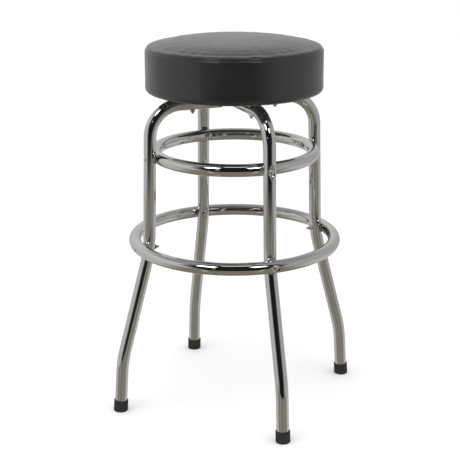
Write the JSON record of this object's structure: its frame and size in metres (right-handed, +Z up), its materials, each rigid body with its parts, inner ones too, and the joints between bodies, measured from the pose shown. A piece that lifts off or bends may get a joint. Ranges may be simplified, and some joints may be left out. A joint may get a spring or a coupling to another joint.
{
  "type": "swivel stool",
  "caption": "Round padded swivel seat on crossed chrome hoop legs, with an upper ring, an outer foot ring and rubber feet.",
  "frame": {"origin": "on the floor, at the centre between the four rubber feet, under the middle of the seat", "axes": "+Z up along the seat's swivel axis; legs at -Y (front), +X (right), +Y (back) and -X (left)"},
  "size_m": [0.5472, 0.5472, 0.77],
  "materials": {
    "tube_chrome": "polished chrome plate on bent steel tube",
    "fastener_chrome": "bright plated steel fasteners",
    "foot_rubber": "moulded black rubber, matt",
    "plate_steel": "zinc-plated pressed steel",
    "screw_steel": "zinc-plated steel",
    "cage_brass": "stamped brass",
    "ball_steel": "polished bearing steel",
    "plywood": "bare birch plywood",
    "foam": "open-cell polyurethane foam",
    "vinyl": "black upholstery vinyl, satin, fine grain",
    "staple_steel": "galvanised steel wire",
    "dust_cloth": "black non-woven cloth"
  },
  "bodies": {
    "frame": {"hoop_left_right": "tube_chrome", "hoop_front_back": "tube_chrome", "upper_ring": "tube_chrome", "foot_ring": "tube_chrome", "rubber_foot_front": "foot_rubber", "rubber_foot_right": "foot_rubber", "rubber_foot_back": "foot_rubber", "rubber_foot_left": "foot_rubber", "upper_ring_bolts": "fastener_chrome", "upper_ring_nuts": "fastener_chrome", "foot_ring_bolts": "fastener_chrome", "foot_ring_nuts": "fastener_chrome", "swivel_lower_plate": "plate_steel", "lower_plate_bolts": "fastener_chrome", "lower_plate_nuts": "fastener_chrome"},
    "cage": {"ball_cage": "cage_brass", "bearing_balls": "ball_steel"},
    "seat": {"swivel_upper_plate": "plate_steel", "upper_plate_screws": "screw_steel", "seat_board": "plywood", "foam_pad": "foam", "vinyl_top_panel": "vinyl", "vinyl_side_band": "vinyl", "vinyl_staples": "staple_steel", "dust_cover": "dust_cloth", "dust_cover_staples": "staple_steel"}
  },
  "joints": [
    {"name": "seat_swivel", "type": "hinge", "parent": "frame", "child": "seat", "pos_m": [0, 0, 0.66], "axis": [0, 0, 1], "continuous": true},
    {"name": "ball_cage_turn", "type": "hinge", "parent": "frame", "child": "cage", "pos_m": [0, 0, 0.66], "axis": [0, 0, 1], "continuous": true}
  ],
  "couplings": [
    {"joint": "ball_cage_turn", "follows": "seat_swivel", "ratio": 0.5}
  ]
}
